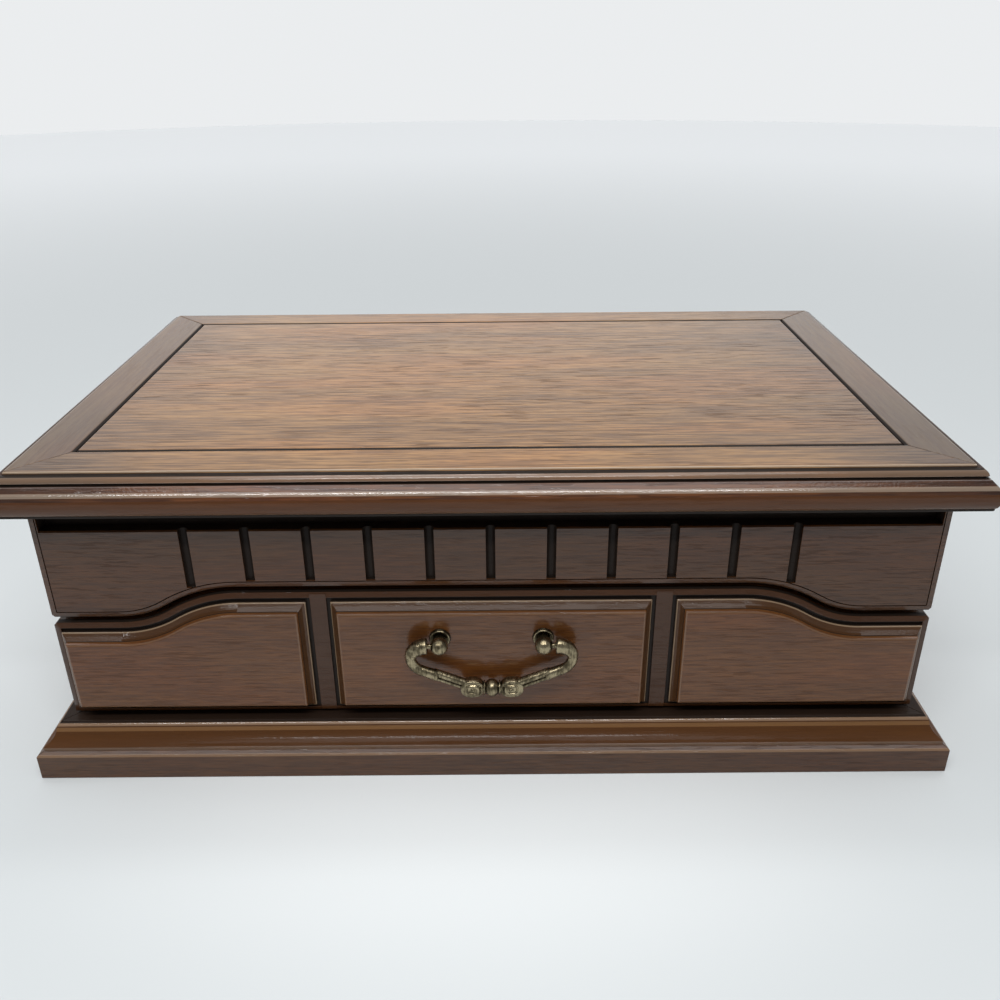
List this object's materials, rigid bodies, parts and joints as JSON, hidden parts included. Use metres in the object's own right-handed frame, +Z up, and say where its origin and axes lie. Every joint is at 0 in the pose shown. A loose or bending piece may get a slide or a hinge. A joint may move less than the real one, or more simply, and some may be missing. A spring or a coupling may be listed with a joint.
{
  "type": "jewellery box with lift-up lid and drawer",
  "caption": "Low wooden jewellery box with a hinged mirrored lid, a fluted wavy-edged front and one drawer with raised panels and a swinging bail pull.",
  "frame": {"origin": "middle of the base moulding's footprint, on the surface that the box stands on", "axes": "+X to the right as seen from the front, +Y from the front to the back, +Z up"},
  "size_m": [0.3506, 0.2193, 0.1263],
  "materials": {
    "stained_wood": "satin lacquer",
    "lid_wood": "satin lacquer",
    "plinth_wood": "satin lacquer",
    "plain_board": "sealed",
    "lining_velvet": "short pile",
    "mirror_glass": "silvered",
    "brass": "plated, satin",
    "aged_brass": "antique, dark in the hollows",
    "steel": "zinc plated"
  },
  "bodies": {
    "case": {"base_front": "plinth_wood", "base_right": "plinth_wood", "base_back": "plinth_wood", "base_left": "plinth_wood", "bottom_board": "plain_board", "case_side_left": "stained_wood", "case_side_right": "stained_wood", "case_back": "stained_wood", "fluted_front": "stained_wood", "compartment_floor": "plain_board", "drawer_kicker_left": "plain_board", "drawer_kicker_right": "plain_board", "compartment_lining": "lining_velvet", "divider_long": "lining_velvet", "divider_ring_cell": "lining_velvet", "divider_back_left": "lining_velvet", "divider_back_right": "lining_velvet", "ring_cushion": "lining_velvet", "hinge_left_case_leaf": "brass", "hinge_right_case_leaf": "brass", "hinge_left_pin": "brass", "hinge_right_pin": "brass", "case_hinge_screws": "brass"},
    "lid": {"lid_rail_front": "lid_wood", "lid_rail_right": "lid_wood", "lid_rail_back": "lid_wood", "lid_rail_left": "lid_wood", "lid_panel": "lid_wood", "lid_mirror": "mirror_glass", "mirror_bead_front": "lid_wood", "mirror_bead_right": "lid_wood", "mirror_bead_back": "lid_wood", "mirror_bead_left": "lid_wood", "hinge_left_lid_leaf": "brass", "hinge_right_lid_leaf": "brass", "lid_hinge_screws": "brass"},
    "drawer": {"drawer_front": "stained_wood", "drawer_panel_left": "stained_wood", "drawer_panel_centre": "stained_wood", "drawer_panel_right": "stained_wood", "drawer_side_left": "plain_board", "drawer_side_right": "plain_board", "drawer_back": "plain_board", "drawer_bottom": "plain_board", "drawer_felt_pad": "lining_velvet", "pull_post_left": "aged_brass", "pull_post_right": "aged_brass", "pull_collar_left": "aged_brass", "pull_collar_right": "aged_brass", "pull_washers": "steel", "pull_nuts": "steel"},
    "bail": {"bail_handle": "aged_brass"}
  },
  "joints": [
    {"name": "lid_hinge", "type": "hinge", "parent": "case", "child": "lid", "pos_m": [0, 0.0977, 0.11115], "axis": [-1, 0, 0], "range_deg": [0, 95]},
    {"name": "drawer_slide", "type": "slide", "parent": "case", "child": "drawer", "axis": [0, -1, 0], "range_m": [0, 0.13]},
    {"name": "bail_swing", "type": "hinge", "parent": "drawer", "child": "bail", "pos_m": [0, -0.1069, 0.0588], "axis": [-1, 0, 0], "range_deg": [-5, 190]}
  ]
}
